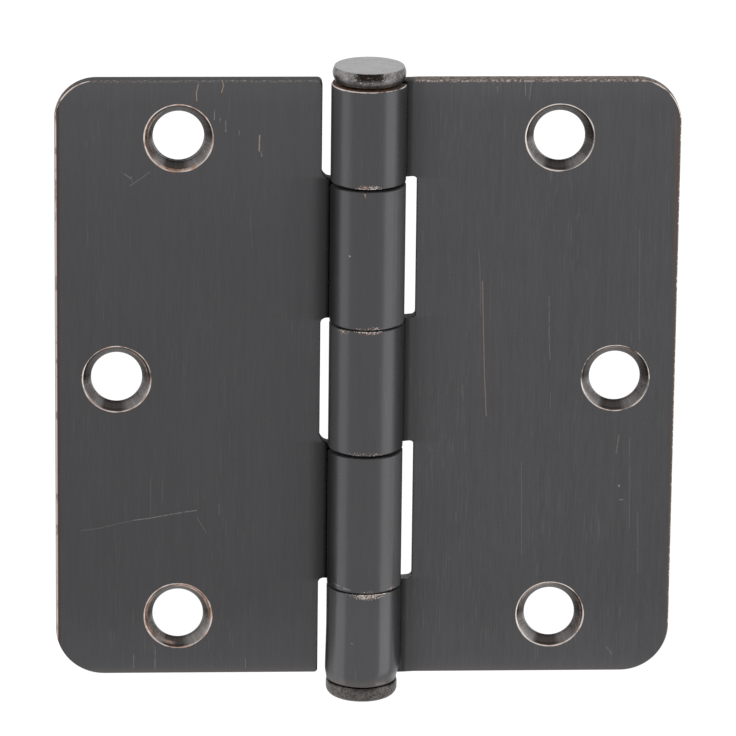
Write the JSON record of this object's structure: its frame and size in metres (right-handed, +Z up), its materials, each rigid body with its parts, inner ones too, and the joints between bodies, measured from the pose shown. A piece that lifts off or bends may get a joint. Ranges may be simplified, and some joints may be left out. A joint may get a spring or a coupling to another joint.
{
  "type": "radius corner door hinge",
  "caption": "Butt hinge with rounded outer corners, two countersunk leaves of rolled steel sheet and a loose headed pin, finished in dark bronze.",
  "frame": {"origin": "on the pin axis, halfway up the hinge, which is the middle of its box", "axes": "+Z up along the pin towards its head, +X towards the jamb leaf, -Y out of the countersunk faces"},
  "size_m": [0.0888, 0.0108, 0.0942],
  "materials": {
    "leaf_bronze": "dark oil-rubbed bronze over steel, fine vertical grain, copper-coloured wear on the edges",
    "pin_bronze": "dark oil-rubbed bronze over steel, mottled"
  },
  "bodies": {
    "jamb_side": {"jamb_leaf": "leaf_bronze", "bottom_plug": "pin_bronze"},
    "door_side": {"door_leaf": "leaf_bronze"},
    "pin": {"hinge_pin": "pin_bronze"}
  },
  "joints": [
    {"name": "door_swing", "type": "hinge", "parent": "jamb_side", "child": "door_side", "pos_m": [0, 0, 0], "axis": [0, 0, 1], "range_deg": [-125, 180]},
    {"name": "pin_lift", "type": "slide", "parent": "jamb_side", "child": "pin", "axis": [0, 0, 1], "range_m": [0, 0.09]}
  ]
}
